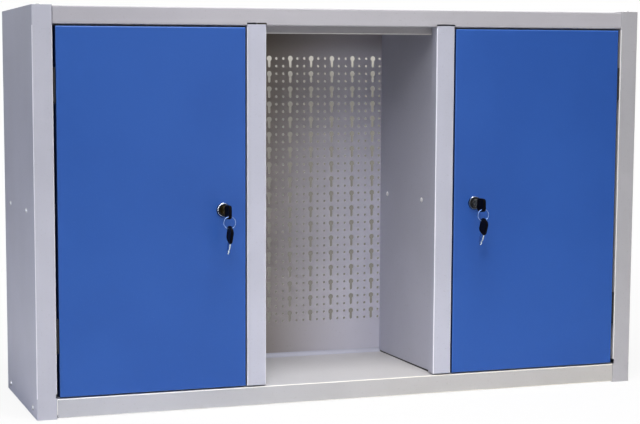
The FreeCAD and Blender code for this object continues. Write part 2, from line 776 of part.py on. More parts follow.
# Key: a bitted blade in a moulded bow that reaches further on the side of its hole. It stands in
# the lock with the bow away from the door.
def key(prefix, hand, side):
    blade = makeBody(prefix + "key_blade_" + hand, side * lockPlace, dim.lockHeight)
    bow = makeBody(prefix + "key_bow_" + hand, side * lockPlace, dim.lockHeight)
    shoulder = keyTip - dim.keyInsertion - dim.keySlotClearance
    thick, wide = dim.keyBladeSheet / 2, dim.keyBladeWidth / 2
    stop, bit = dim.keyShoulderWidth / 2, dim.keyBitDepth
    tangEnd = keyBowBase - dim.keyTangLength
    outline = [
        (tangEnd, -wide),
        (keyBowBase, -wide),
        (keyBowBase, -stop),
        (shoulder, -stop),
        (shoulder, -wide),
        (keyTip - wide, -wide),
        (keyTip, 0),
        (keyTip - bit, wide - bit),
        (keyTip - bit * 2, wide - bit),
        (keyTip - bit * 3, wide),
        (keyTip - bit * 4, wide - bit),
        (keyTip - bit * 5, wide - bit),
        (keyTip - bit * 6, wide),
        (shoulder, wide),
        (shoulder, stop),
        (keyBowBase, stop),
        (keyBowBase, wide),
        (tangEnd, wide),
    ]
    prism(blade, "YZ", -thick, thick, [outline])
    corner = dim.keyBowCorner
    low, high = -dim.keyBowWidth / 2 - dim.keyBowDrop, dim.keyBowWidth / 2 - dim.keyBowDrop
    ends = rectangle((keyBowEnd, low), (keyBowBase, high))
    hole = (keyBowEnd + dim.keyHoleFromEnd, -dim.keyHoleOffset, dim.keyHoleRadius)
    grip = dim.keyBowSheet / 2
    prism(bow, "YZ", -grip, grip, [[(y, z, corner) for y, z in ends]], [hole])
    tang = rectangle((tangEnd, -wide), (keyBowBase, wide))
    prism(bow, "YZ", -thick, thick, [tang], cut=True)
    return [blade, bow]


# Hangs the spare key from the foot of the ring with its blade down and its tip towards the door
def hangSpare(pieces, side):
    level = FreeCAD.Rotation(Vector(1, 0, 0), -90) * FreeCAD.Rotation(Vector(0, 1, 0), 180)
    rotation = FreeCAD.Rotation(Vector(1, 0, 0), dim.spareTilt.value) * level
    holeZ = dim.lockHeight - dim.keyHoleOffset - ringDrop() * 2 - dim.ringRadius * 2
    along, beside = rotation.multVec(Vector(0, 1, 0)), rotation.multVec(Vector(0, 0, 1))
    for piece in pieces:
        piece.Placement = FreeCAD.Placement(Vector(), rotation)
        back = keyHolePlace - keyHolePlace * along.y + dim.keyHoleOffset * beside.y
        up = holeZ - keyHolePlace * along.z + dim.keyHoleOffset * beside.z
        bindPlace(piece, (side * lockPlace, back, up))


# Ring of drawn wire, bent round the Y axis in the plane of the bows' holes
def keyRing(hand, side):
    middle = dim.lockHeight - dim.keyHoleOffset - ringDrop() - dim.ringRadius
    ring = makeBody("key_ring_" + hand, side * lockPlace, middle)
    turns = [2 * math.pi * (step + 0.5) / wireFlats for step in range(wireFlats)]
    wire = dim.ringWireRadius
    turned(ring, [(keyHolePlace + wire * math.sin(turn), dim.ringRadius + wire * math.cos(turn))
                  for turn in turns])


keyTip = dim.keyInsertion - dim.lockBezelHeight - dim.lockPlugLip
keyBowBase = keyTip - dim.keyBladeLength
keyBowEnd = keyBowBase - dim.keyBowLength
keyHolePlace = keyBowEnd + dim.keyHoleFromEnd

topPanel()
bottomPanel()
perforatedPanel()
for hand, side in (("left", -1), ("right", 1)):
    sidePanel("side_panel_" + hand, side)
    partition("partition_" + hand, side)
    rearPanel("rear_panel_" + hand, side)
    shelf("shelf_" + hand, side)
    doorPanel("door_panel_" + hand, side)
    hinge(hand + "_lower", side, doorLow + dim.hingeFootMargin)
    hinge(hand + "_upper", side, doorTop - dim.hingeHeadMargin - dim.hingeLength)
    camLock(hand, side)
    key("", hand, side)
    keyRing(hand, side)
    hangSpare(key("spare_", hand, side), side)
allScrews()
doc.recompute()

for item in doc.Objects:
    if {"Invalid", "Error"} & set(item.State):
        raise RuntimeError("%s did not compute" % item.Label)
for node in nodes:
    if node.Shape.isNull() or not node.Shape.isValid():
        raise RuntimeError("%s has no valid shape" % node.Label)

os.makedirs("parts", exist_ok=True)
for node in nodes:
    node.Shape.exportStep("parts/%s.step" % node.Label)
    print(node.Label, len(node.Shape.Solids), round(node.Shape.Volume))
print("nodes", len(nodes))
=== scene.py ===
import json
import math
import bpy
import bmesh
from mathutils import Matrix, Vector


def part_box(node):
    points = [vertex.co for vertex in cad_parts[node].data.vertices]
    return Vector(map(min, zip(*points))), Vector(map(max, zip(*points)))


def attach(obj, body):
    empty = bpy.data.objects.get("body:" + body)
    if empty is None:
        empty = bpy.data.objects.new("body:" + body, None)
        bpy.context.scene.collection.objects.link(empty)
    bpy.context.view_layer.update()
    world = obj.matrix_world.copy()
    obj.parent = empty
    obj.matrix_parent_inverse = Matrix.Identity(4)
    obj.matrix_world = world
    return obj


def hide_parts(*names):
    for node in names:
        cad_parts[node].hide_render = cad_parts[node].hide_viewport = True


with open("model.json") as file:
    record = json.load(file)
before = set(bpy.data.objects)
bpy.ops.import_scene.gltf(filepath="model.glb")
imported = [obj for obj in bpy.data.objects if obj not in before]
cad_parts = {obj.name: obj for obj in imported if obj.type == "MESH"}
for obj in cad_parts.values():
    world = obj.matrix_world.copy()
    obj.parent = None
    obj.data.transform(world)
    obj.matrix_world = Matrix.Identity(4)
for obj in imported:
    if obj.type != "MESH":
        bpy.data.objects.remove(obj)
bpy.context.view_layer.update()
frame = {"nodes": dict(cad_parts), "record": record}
nodes = frame["nodes"]
sides = (("left", -1), ("right", 1))
mm = 0.001
print("frame loaded", len(nodes))


# A node's output. Sums, differences and products of outputs add their Math nodes.
class Output:
    def __init__(self, surface, socket):
        self.surface = surface
        self.socket = socket

    # Another output of the same node
    def beside(self, name):
        return Output(self.surface, self.socket.node.outputs[name])

    def __add__(self, other):
        return self.surface.math("ADD", self, other)

    def __radd__(self, other):
        return self.surface.math("ADD", other, self)

    def __sub__(self, other):
        return self.surface.math("SUBTRACT", self, other)

    def __rsub__(self, other):
        return self.surface.math("SUBTRACT", other, self)

    def __mul__(self, other):
        return self.surface.math("MULTIPLY", self, other)

    def __rmul__(self, other):
        return self.surface.math("MULTIPLY", other, self)


# The node tree of a material or of the world, and the few nodes that most finishes share
class Surface:
    def __init__(self, owner, end="OutputMaterial"):
        self.owner = owner
        self.end = end
        owner.use_nodes = True
        self.tree = owner.node_tree
        self.tree.nodes.clear()

    # Any node: its settings first, then the values or links of its sockets
    def node(self, kind, settings=None, inputs=None, output=0):
        made = self.tree.nodes.new("ShaderNode" + kind)
        for name, value in (settings or {}).items():
            setattr(made, name, value)
        for name, value in (inputs or {}).items():
            if isinstance(value, Output):
                self.tree.links.new(value.socket, made.inputs[name])
            else:
                made.inputs[name].default_value = value
        return Output(self, made.outputs[output])

    def math(self, operation, first, second):
        return self.node("Math", {"operation": operation}, {0: first, 1: second})

    # Two colours or vectors multiplied part by part
    def tint(self, first, second):
        return self.node("VectorMath", {"operation": "MULTIPLY"}, {0: first, 1: second})

    # The point in the object's own metres, stretched where a grain runs one way
    def place(self, stretch=(1, 1, 1)):
        return self.tint(self.node("TexCoord", output="Object"), stretch)

    # One coordinate of the point in the object's own metres
    def axis(self, side):
        return self.node("SeparateXYZ", {}, {0: self.node("TexCoord", output="Object")}, side)

    # How far the surface faces along one of the object's own axes
    def facing(self, side):
        return self.node("SeparateXYZ", {}, {0: self.node("TexCoord", output="Normal")}, side)

    def noise(self, size, detail=2.0, stretch=(1, 1, 1), seed=0.0):
        inputs = {0: self.place(stretch), 1: (seed, seed, seed)}
        point = self.node("VectorMath", {"operation": "ADD"}, inputs)
        return self.node("TexNoise", {}, {"Vector": point, "Scale": 1 / size, "Detail": detail})

    def ramp(self, value, low, high, start=0.0, end=1.0):
        inputs = {"Value": value, "From Min": low, "From Max": high, "To Min": start, "To Max": end}
        return self.node("MapRange", {"interpolation_type": "SMOOTHSTEP"}, inputs)

    # From colour a to colour b as the mask goes from 0 to 1
    def blend(self, mask, a, b):
        inputs = {0: mask}
        for index, colour in ((6, a), (7, b)):
            inputs[index] = colour if isinstance(colour, Output) else (*colour, 1)
        return self.node("Mix", {"data_type": "RGBA"}, inputs, 2)

    # A value that strays to either side of its middle with a noise
    def stray(self, middle, spread, noise):
        return middle + (noise - 0.5) * spread

    def bump(self, height, strength, depth):
        return self.node("Bump", {}, {"Height": height, "Strength": strength, "Distance": depth})

    # 1 on the folds, where the surface faces between two axes, and 0 on the flats. Powder coats paint a
    # highlight there.
    def folds(self, low, high):
        facing = self.node("TexCoord", output="Normal")
        squares = self.node("SeparateXYZ", {}, {0: self.tint(facing, facing)})
        tallest = squares
        for side in "YZ":
            tallest = self.math("MAXIMUM", tallest, squares.beside(side))
        return self.ramp(1 - tallest, low, high)

    def show(self, shader):
        end = self.tree.nodes.new("ShaderNode" + self.end)
        self.tree.links.new(shader.socket, end.inputs["Surface"])
        return self.owner

    def finish(self, inputs):
        return self.show(self.node("BsdfPrincipled", {}, inputs))


# What all powder coats share
paint = {
    "cloudDetail": 3.0,
    "cloudRange": (0.35, 0.65),
    "grainDetail": 2.0,
    "speckDetail": 1.0,
    "speckSeed": 7.0,
    "speckRange": (0.66, 0.72),
    "foldRange": (0.04, 0.40),
    "sideRange": (0.6, 0.95),
    "casts": (("X", "leftCast", "rightCast"), ("Y", "frontLight", "innerCast"), ("Z", "lowLight", "topCast")),
}


# Powder coat: a fine pebbled skin, a little cloudiness and the odd speck, with a painted highlight on its
# folds.
# Painted light and shade can drift along each axis, from one tint to the other over the axis's reach.
def powderCoat(name, look):
    coat = Surface(bpy.data.materials.new(name))
    cloud = coat.ramp(coat.noise(look["cloudSize"], paint["cloudDetail"]), *paint["cloudRange"])
    grain = coat.noise(look["grainSize"], paint["grainDetail"])
    speck = coat.noise(look["speckSize"], paint["speckDetail"], seed=paint["speckSeed"])
    speck = coat.ramp(speck, *paint["speckRange"]) * look["speckShare"]
    colour = coat.blend(cloud, look["colour"], look["cloudColour"])
    colour = coat.blend(speck, colour, look["speckColour"])
    # Painted highlight: folds are lightened towards the highlight colour, between foldFoot and foldTop
    # where these are given
    if look["foldHighlightShare"]:
        share = coat.folds(*paint["foldRange"]) * look["foldHighlightShare"]
        if "foldTop" in look:
            up = coat.axis("Z")
            share = share * coat.math("LESS_THAN", up, look["foldTop"])
            share = share * coat.math("GREATER_THAN", up, look["foldFoot"])
        colour = coat.blend(share, colour, look["foldHighlight"])
    # Painted light and shade along each axis
    for side, low, high in paint["casts"]:
        if low in look:
            along = coat.ramp(coat.axis(side), *look["reach" + side])
            colour = coat.tint(colour, coat.blend(along, look[low], look[high]))
    # Painted shadows: each darkens the colour inside a soft-edged box across x and z
    for xStart, xEnd, zStart, zEnd, shade in look.get("shades", ()):
        mask = coat.ramp(coat.axis("X"), xStart, xEnd) * coat.ramp(coat.axis("Z"), zStart, zEnd)
        colour = coat.tint(colour, coat.blend(mask, (1, 1, 1), shade))
    # Painted shade on faces across x
    if "sideShade" in look:
        aside = coat.ramp(coat.math("ABSOLUTE", coat.facing("X"), 0), *paint["sideRange"])
        colour = coat.blend(aside, colour, look["sideShade"])
    rough = coat.stray(look["roughness"], look["roughnessSpread"], grain)
    normal = coat.bump(grain, look["grainStrength"], look["grainDepth"])
    return coat.finish({"Base Color": colour, "Roughness": rough, "Normal": normal,
                        "Specular IOR Level": look["gloss"]})


greyCoat = {
    "colour": (0.468, 0.477, 0.528),
    "cloudColour": (0.498, 0.507, 0.562),
    "cloudSize": 0.16,
    "speckColour": (0.36, 0.36, 0.38),
    "speckShare": 0.25,
    "speckSize": 0.0035,
    "foldHighlight": (1.0, 1.0, 1.0),
    "foldHighlightShare": 0.95,
    "foldTop": 0.571,
    "foldFoot": 0.0315,
    "grainSize": 0.0016,
    "grainStrength": 0.18,
    "grainDepth": 0.0004,
    "roughness": 0.46,
    "roughnessSpread": 0.20,
    "gloss": 0.35,
    # Painted light and shade: cooler at the left, darker and warmer at the right, lighter low down, darker
    # at the top
    "reachX": (0.10, 0.48),
    "leftCast": (0.96, 0.965, 1.02),
    "rightCast": (0.90, 0.88, 0.85),
    "reachZ": (0.0, 0.6),
    "lowLight": (1.14, 1.13, 1.12),
    "topCast": (0.88, 0.875, 0.875),
}
blueCoat = {
    "colour": (0.021, 0.088, 0.370),
    "cloudColour": (0.024, 0.096, 0.392),
    "cloudSize": 0.20,
    "speckColour": (0.05, 0.14, 0.46),
    "speckShare": 0.22,
    "speckSize": 0.003,
    "foldHighlight": (0.075, 0.19, 0.56),
    "foldHighlightShare": 0.75,
    # Painted shade: the doors' side faces, across x, are darkened to a near-black blue
    "sideShade": (0.006, 0.022, 0.11),
    "grainSize": 0.0014,
    "grainStrength": 0.16,
    "grainDepth": 0.0004,
    "roughness": 0.42,
    "roughnessSpread": 0.18,
    "gloss": 0.25,
    # Painted light and shade: the blue is lighter low down and darker at the top
    "reachX": (-0.5, 0.5),
    "leftCast": (1.0, 1.0, 1.0),
    "rightCast": (0.98, 1.0, 1.02),
    "reachZ": (0.0, 0.6),
    "lowLight": (1.14, 1.12, 1.09),
    "topCast": (0.89, 0.89, 0.89),
}
blackCoat = {
    "colour": (0.010, 0.010, 0.012),
    "cloudColour": (0.014, 0.014, 0.016),
    "cloudSize": 0.02,
    "speckColour": (0.03, 0.03, 0.03),
    "speckShare": 0.2,
    "speckSize": 0.002,
    "foldHighlight": (0.03, 0.03, 0.035),
    "foldHighlightShare": 0.6,
    "grainSize": 0.0012,
    "grainStrength": 0.12,
    "grainDepth": 0.0003,
    "roughness": 0.45,
    "roughnessSpread": 0.15,
    "gloss": 0.3,
}

# Painted shade: the perforated panel's coat is darker towards its upper left, and under the roof, where the
# shadows of the left wall and the roof fall, and lighter and bluer towards its lower right
panelCoat = dict(
    greyCoat, foldHighlightShare=0,
    reachX=(-0.17, 0.15), leftCast=(0.64, 0.50, 0.30), rightCast=(1.90, 1.85, 1.96),
    reachZ=(0.20, 0.59), lowLight=(0.67, 0.67, 0.66), topCast=(0.54, 0.53, 0.51),
    shades=((0.09, -0.14, 0.33, 0.53, (0.66, 0.62, 0.52)),
            (-9, -8, 0.525, 0.56, (0.58, 0.56, 0.54))),
)
# Painted light and shade: roof and posts change shade from their front faces, which are lighter, to what
# lies behind these, which is darker; the roof is also darker towards its left
topCoat = dict(
    greyCoat,
    reachX=(-0.45, -0.05), leftCast=(0.86, 0.835, 0.84), rightCast=(0.97, 0.94, 0.92),
    reachY=(-0.1295, -0.124), frontLight=(1, 1, 1), innerCast=(0.76, 0.755, 0.74),
)
# Painted light: the bottom is a little darker at the left and warmer at the right
bottomCoat = dict(
    greyCoat, foldFoot=0,
    reachX=(-0.5, 0.5), leftCast=(0.955, 0.96, 0.955), rightCast=(1.03, 0.99, 0.87),
)
postCoat = dict(
    greyCoat,
    reachY=(-0.1298, -0.1265), frontLight=(1.07, 1.075, 1.09), innerCast=(1, 1, 1.01),
)
sillCoat = dict(greyCoat, foldHighlightShare=0)

# What all bare metals share. The lit part of a screw head faces aside, up or to the front, and a painted
# shade darkens the rest of the head.
drawn = {
    "lineDetail": 3.0,
    "lineDepth": 0.0002,
    "castDetail": 2.0,
    "castSeed": 3.0,
    "castRange": (0.3, 0.7),
    "rightReach": (-0.1, 0.1),
    "litUp": 0.5,
    "litFront": 0.9,
    "litRange": (0.15, 0.45),
}


# Bare metal: fine drawn lines one way and a soft cast. Some metals have painted light at the right of
# the cabinet, or a painted shade round their lit part.
def bareMetal(name, look):
    metal = Surface(bpy.data.materials.new(name))
    lines = metal.noise(look["lineSize"], drawn["lineDetail"], look["stretch"])
    cast = metal.noise(look["castSize"], drawn["castDetail"], seed=drawn["castSeed"])
    colour = metal.blend(metal.ramp(cast, *drawn["castRange"]), look["colour"], look["castColour"])
    if "rightCast" in look:
        along = metal.ramp(metal.axis("X"), *drawn["rightReach"])
        colour = metal.tint(colour, metal.blend(along, (1, 1, 1), look["rightCast"]))
    if "shadedEdge" in look:
        aside = metal.math("ABSOLUTE", metal.facing("X"), 0)
        lit = aside + metal.facing("Z") * drawn["litUp"] - metal.facing("Y") * drawn["litFront"]
        colour = metal.blend(metal.ramp(lit, *drawn["litRange"]), look["shadedEdge"], colour)
    return metal.finish({
        "Base Color": colour,
        "Metallic": look["metallic"],
        "Roughness": metal.stray(look["roughness"], look["roughnessSpread"], lines),
        "Normal": metal.bump(lines, look["lineStrength"], drawn["lineDepth"]),
    })


zincSteel = {
    "colour": (0.50, 0.51, 0.54),
    "castColour": (0.60, 0.60, 0.60),
    "castSize": 0.01,
    "shadedEdge": (0.04, 0.04, 0.05),
    "metallic": 1.0,
    "stretch": (1, 1, 0.15),
    "lineSize": 0.0012,
    "lineStrength": 0.12,
    "roughness": 0.34,
    "roughnessSpread": 0.25,
}
chromePlate = {
    "colour": (0.78, 0.78, 0.80),
    "castColour": (0.70, 0.71, 0.74),
    "castSize": 0.006,
    "metallic": 1.0,
    "stretch": (1, 1, 1),
    "lineSize": 0.002,
    "lineStrength": 0.03,
    "roughness": 0.12,
    "roughnessSpread": 0.08,
}
turnedBrass = {
    "colour": (0.10, 0.065, 0.02),
    "castColour": (0.03, 0.02, 0.01),
    "castSize": 0.004,
    # Painted reflection: the brass turns silvery grey at the right lock
    "rightCast": (1.9, 2.7, 8.0),
    "metallic": 1.0,
    "stretch": (1, 0.2, 1),
    "lineSize": 0.0015,
    "lineStrength": 0.08,
    "roughness": 0.30,
    "roughnessSpread": 0.20,
}
nickelSteel = {
    # Painted reflection: the key steel's bluish tint stands for the blue doors mirrored in it
    "colour": (0.60, 0.70, 0.76),
    "castColour": (0.40, 0.48, 0.54),
    "castSize": 0.004,
    "metallic": 1.0,
    "stretch": (1, 0.2, 1),
    "lineSize": 0.0008,
    "lineStrength": 0.08,
    "roughness": 0.24,
    "roughnessSpread": 0.16,
}
# Painted highlight: the screws on the bay's inner walls are white and hardly metal, so that they show
# bright in the dim bay
innerScrew = dict(zincSteel, colour=(1.0, 1.0, 1.0), castColour=(0.9, 0.9, 0.92), metallic=0.15)
# Painted reflection: the split ring's blue tint stands for the blue door mirrored in it
ringBlueReflection = dict(nickelSteel, colour=(0.26, 0.38, 0.66), castColour=(0.14, 0.24, 0.50))

mouldedPlastic = {
    "colour": (0.0012, 0.0010, 0.0016),
    "pale": (0.003, 0.002, 0.004),
    "cloudSize": 0.006,
    "cloudSeed": 5.0,
    "cloudRange": (0.35, 0.7),
    "grainSize": 0.0006,
    "grainStrength": 0.2,
    "grainDepth": 0.0002,
    "roughness": 0.38,
    "roughnessSpread": 0.25,
    "gloss": 0.04,
}


def blackPlastic():
    look = mouldedPlastic
    skin = Surface(bpy.data.materials.new("blackPlastic"))
    grain = skin.noise(look["grainSize"])
    cloud = skin.ramp(skin.noise(look["cloudSize"], seed=look["cloudSeed"]), *look["cloudRange"])
    return skin.finish({
        "Base Color": skin.blend(cloud, look["colour"], look["pale"]),
        "Roughness": skin.stray(look["roughness"], look["roughnessSpread"], grain),
        "Normal": skin.bump(grain, look["grainStrength"], look["grainDepth"]),
        "Specular IOR Level": look["gloss"],
    })


# Polished plate with a painted highlight where it faces up and a painted reflection of the door's dark blue
# elsewhere
bezelLight = {
    "bright": (0.92, 0.95, 1.0),
    "dark": (0.03, 0.05, 0.10),
    "highlightRange": (0.52, 0.84),
    "hazeSize": 0.004,
    "hazeSpread": 0.08,
    "roughness": 0.16,
}


def bezelHighlightPlate():
    plate = Surface(bpy.data.materials.new("bezelHighlightPlate"))
    up = plate.ramp(plate.facing("Z"), *bezelLight["highlightRange"])
    haze = plate.noise(bezelLight["hazeSize"])
    return plate.finish({
        "Base Color": plate.blend(up, bezelLight["dark"], bezelLight["bright"]),
        "Metallic": 1.0,
        "Roughness": bezelLight["roughness"] + haze * bezelLight["hazeSpread"],
    })


# The finish of each material slot, and those of single nodes and pieces
finishes = {
    "grey_paint": powderCoat("greyPowderCoat", greyCoat),
    "blue_paint": powderCoat("bluePowderCoat", blueCoat),
    "zinc_steel": bareMetal("zincSteel", zincSteel),
    "chrome": bareMetal("chromePlate", chromePlate),
    "brass": bareMetal("turnedBrass", turnedBrass),
    "key_steel": bareMetal("nickelSteel", nickelSteel),
    "black_plastic": blackPlastic(),
    "black_steel": powderCoat("blackenedSteel", blackCoat),
}
variants = {
    "panel": powderCoat("panelPowderCoat", panelCoat),
    "bottom_panel": powderCoat("bottomPowderCoat", bottomCoat),
    "top_panel": powderCoat("topPowderCoat", topCoat),
    "partition": powderCoat("partitionPowderCoat", postCoat),
    "bezel": bezelHighlightPlate(),
    "ring": bareMetal("ringBlueReflection", ringBlueReflection),
    "innerScrew": bareMetal("innerScrewHighlightSteel", innerScrew),
    "sill": powderCoat("sillPowderCoat", sillCoat),
}
slots = {part["node"]: part["material_slot"] for part in frame["record"]["subparts"]}
for name, piece in nodes.items():
    piece.data.materials.clear()
    key = "partition" if name.startswith("partition") else name
    piece.data.materials.append(variants.get(key, finishes[slots[name]]))
print("finishes", len(finishes))


def addObject(name, data):
    made = bpy.data.objects.new(name, data)
    bpy.context.scene.collection.objects.link(made)
    return made


def addMesh(name, mesh):
    data = bpy.data.meshes.new(name)
    mesh.to_mesh(data)
    mesh.free()
    return addObject(name, data)


# A new piece from a mesh in metres, in the finish of one of the part's slots
def addPiece(name, mesh, slot, body, smooth=False, finish=None):
    piece = addMesh(name, mesh)
    piece.data.materials.append(finish or finishes[slot])
    for face in piece.data.polygons:
        face.use_smooth = smooth
    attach(piece, body)
    return piece


# Points on an arc about (x, z) from one angle to another, both ends included
def arc(x, z, radius, start, end, steps):
    turns = [math.radians(start + (end - start) * step / steps) for step in range(steps + 1)]
    return [(x + radius * math.cos(turn), z + radius * math.sin(turn)) for turn in turns]


def circle(radius, count):
    turns = [2 * math.pi * index / count for index in range(count)]
    return [(radius * math.cos(turn), radius * math.sin(turn)) for turn in turns]


def ringOf(mesh, points):
    return [mesh.verts.new(point) for point in points]


# Quads from each ring of vertices to the next
def bridge(mesh, rings, closed=True):
    for first, second in zip(rings, rings[1:]):
        count = len(first)
        for index in range(count if closed else count - 1):
            following = (index + 1) % count
            mesh.faces.new([first[index], first[following], second[following], second[index]])


# The same with a face over either end
def tube(mesh, rings):
    bridge(mesh, rings)
    mesh.faces.new(rings[0][::-1])
    mesh.faces.new(rings[-1])


def faceOut(mesh):
    bmesh.ops.recalc_face_normals(mesh, faces=mesh.faces)


# The perforated panel: keyholes for hooks with two columns of small round holes between them
panel = {
    "columnStep": 12.25 * mm,
    "rowStep": 12.5 * mm,
    "columns": 24,
    "rows": 18,
    "keyholeEvery": 3,
    "firstKeyhole": 1,
    "topRow": 527.7 * mm,
    "head": 4.5 * mm,
    "slot": 2.3 * mm,
    "drop": 12.5 * mm,
    "smallHole": 2.2 * mm,
    "sheet": 1.2 * mm,
    "bend": 2 * mm,
    "arcSteps": 3,
    "weld": 1e-6,
}


def perforatedPanel():
    low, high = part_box("perforated_panel")
    front = low.y
    step, rise, steps = panel["columnStep"], panel["rowStep"], panel["arcSteps"]
    half = step / 2
    mesh = bmesh.new()

    def face(points):
        mesh.faces.new([mesh.verts.new(point) for point in points])

    def flat(points):
        face([(x, front, z) for x, z in points])

    # The faces from a cell's corners to the rim of its small hole
    def roundHole(x, floor, ceiling):
        corners = [(x - half, floor), (x + half, floor), (x + half, ceiling), (x - half, ceiling)]
        for quarter in range(4):
            start = 225 + 90 * quarter
            rim = arc(x, ceiling - rise / 2, panel["smallHole"], start, start + 90, steps)
            flat([corners[quarter], corners[(quarter + 1) % 4], *reversed(rim)])

    # The faces above, right of, below and left of a keyhole, which takes up two cells
    def keyhole(x, floor, middle, ceiling):
        west, east = x - half, x + half
        z = ceiling - rise / 2
        foot = z - panel["drop"]
        opening = math.degrees(math.acos(panel["slot"] / panel["head"]))
        headRight = arc(x, z, panel["head"], -opening, 45, steps)
        headTop = arc(x, z, panel["head"], 45, 135, steps)
        headLeft = arc(x, z, panel["head"], 135, 180 + opening, steps)
        footLeft = arc(x, foot, panel["slot"], 180, 225, 1)
        footLow = arc(x, foot, panel["slot"], 225, 315, steps)
        footRight = arc(x, foot, panel["slot"], 315, 360, 1)
        flat([(west, ceiling), *headTop[::-1], (east, ceiling)][::-1])
        flat([(east, floor), (east, middle), (east, ceiling), *headRight[::-1], *footRight[::-1]])
        flat([(west, floor), (east, floor), *footLow[::-1]])
        flat([(west, ceiling), (west, middle), (west, floor), *footLeft[::-1], *headLeft[::-1]])

    top = panel["topRow"] + rise / 2
    cuts = [top - rise * count for count in range(panel["rows"] * 2 + 1)]
    for column in range(panel["columns"]):
        x = (column - (panel["columns"] - 1) / 2) * step
        for floor, ceiling in ((top, high.z), (low.z, cuts[-1])):
            flat([(x - half, floor), (x + half, floor), (x + half, ceiling), (x - half, ceiling)])
        if column % panel["keyholeEvery"] == panel["firstKeyhole"]:
            for row in range(0, panel["rows"] * 2, 2):
                keyhole(x, cuts[row + 2], cuts[row + 1], cuts[row])
        else:
            for ceiling, floor in zip(cuts, cuts[1:]):
                roundHole(x, floor, ceiling)
    # the plain margins and the flanges towards the wall, bent round a small radius
    levels = sorted({low.z, high.z, *cuts})
    margin, bend = half * panel["columns"], panel["bend"]
    for hand, sign in sides:
        edge = high.x * sign
        line = [(margin * sign, front), (edge - bend * sign, front)]
        for count in range(1, steps + 1):
            turn = math.pi / 2 * count / steps
            line.append((edge - sign * bend * (1 - math.sin(turn)), front + bend * (1 - math.cos(turn))))
        line.append((edge, high.y))
        for start, end in zip(levels, levels[1:]):
            for (x1, y1), (x2, y2) in zip(line, line[1:]):
                corners = [(x1, y1, start), (x2, y2, start), (x2, y2, end), (x1, y1, end)]
                face(corners if sign > 0 else corners[::-1])
    bmesh.ops.remove_doubles(mesh, verts=mesh.verts, dist=panel["weld"])
    faceOut(mesh)
    if sum(f.normal.y * f.calc_area() for f in mesh.faces) > 0:
        bmesh.ops.reverse_faces(mesh, faces=mesh.faces)
    piece = addPiece("perforatedPanel", mesh, "grey_paint", "casing", finish=variants["panel"])
    shell = piece.modifiers.new("sheet", "SOLIDIFY")
    shell.thickness = panel["sheet"]
    shell.offset = -1
    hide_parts("perforated_panel")


perforatedPanel()
print("perforated panel")

# The sill at the panel's foot: a hollow curve up from the floor that closes the gap
sill = {
    "reach": 144.3 * mm,
    "back": 101.8 * mm,
    "floor": 30 * mm,
    "radius": 6.8 * mm,
    "steps": 8,
}


def panelSill():
    mesh = bmesh.new()
    rows = []
    for count in range(sill["steps"] + 1):
        turn = math.pi / 2 * count / sill["steps"]
        y = sill["back"] - sill["radius"] * (1 - math.sin(turn))
        z = sill["floor"] + sill["radius"] * (1 - math.cos(turn))
        rows.append(ringOf(mesh, [(x, y, z) for x in (-sill["reach"], sill["reach"])]))
    bridge(mesh, rows, closed=False)
    addPiece("panelSill", mesh, "grey_paint", "casing", smooth=True, finish=variants["sill"])


panelSill()

# Painted shadow: a dark strip along the foot of either wall of the open bay, from the front posts to the
# panel, where the gap under the wall lies in shade
footShadowStrip = {
    "wall": 144.5 * mm,
    "proud": 0.15 * mm,
    "front": -118 * mm,
    "back": 101 * mm,
    "low": 30.1 * mm,
    "frontHeight": 2.6 * mm,
    "backHeight": 1.6 * mm,
}


def footShadow(hand, sign):
    mesh = bmesh.new()
    near, far = (footShadowStrip["wall"] - footShadowStrip["proud"]) * sign, (footShadowStrip["wall"] + footShadowStrip["proud"]) * sign
    ends = []
    for y, height in ((footShadowStrip["front"], footShadowStrip["frontHeight"]), (footShadowStrip["back"], footShadowStrip["backHeight"])):
        low, high = footShadowStrip["low"], footShadowStrip["low"] + height
        ends.append(ringOf(mesh, [(near, y, low), (near, y, high), (far, y, high), (far, y, low)]))
    tube(mesh, ends)
    faceOut(mesh)
    addPiece("footShadow_" + hand, mesh, "black_steel", "casing")


for hand, sign in sides:
    footShadow(hand, sign)
print("bay trim")

# Moulded key bows: rounded edges, a shallow sunk field on either side and the hole for the ring
bow = {
    "end": -36.6 * mm,
    "base": -12.6 * mm,
    "low": -11.85 * mm,
    "high": 8.65 * mm,
    "corner": 6 * mm,
    "half": 2.2 * mm,
    "edge": 0.9 * mm,
    "edgeMiddle": 0.35,
    "steps": 5,
    "hole": 1.9 * mm,
    "holeIn": 5.5 * mm,
    "holeSide": -7 * mm,
    "holeCount": 12,
    "sunk": 0.5 * mm,
    "fieldIn": 9.8 * mm,
    "fieldMargin": 3 * mm,
    "fieldCorner": 3 * mm,
    "fieldSteps": 3,
    "fieldTaper": 0.06,
}
lock = {"x": 206 * mm, "front": -130 * mm, "z": 300.6 * mm, "count": 40}


# A rectangle with round corners, as points (y, z)
def roundRectangle(low, high, left, right, radius, steps):
    points = []
    for y, z, start in ((right - radius, high - radius, 0), (left + radius, high - radius, 90),
                        (left + radius, low + radius, 180), (right - radius, low + radius, 270)):
        points += arc(y, z, radius, start, start + 90, steps)
    return points


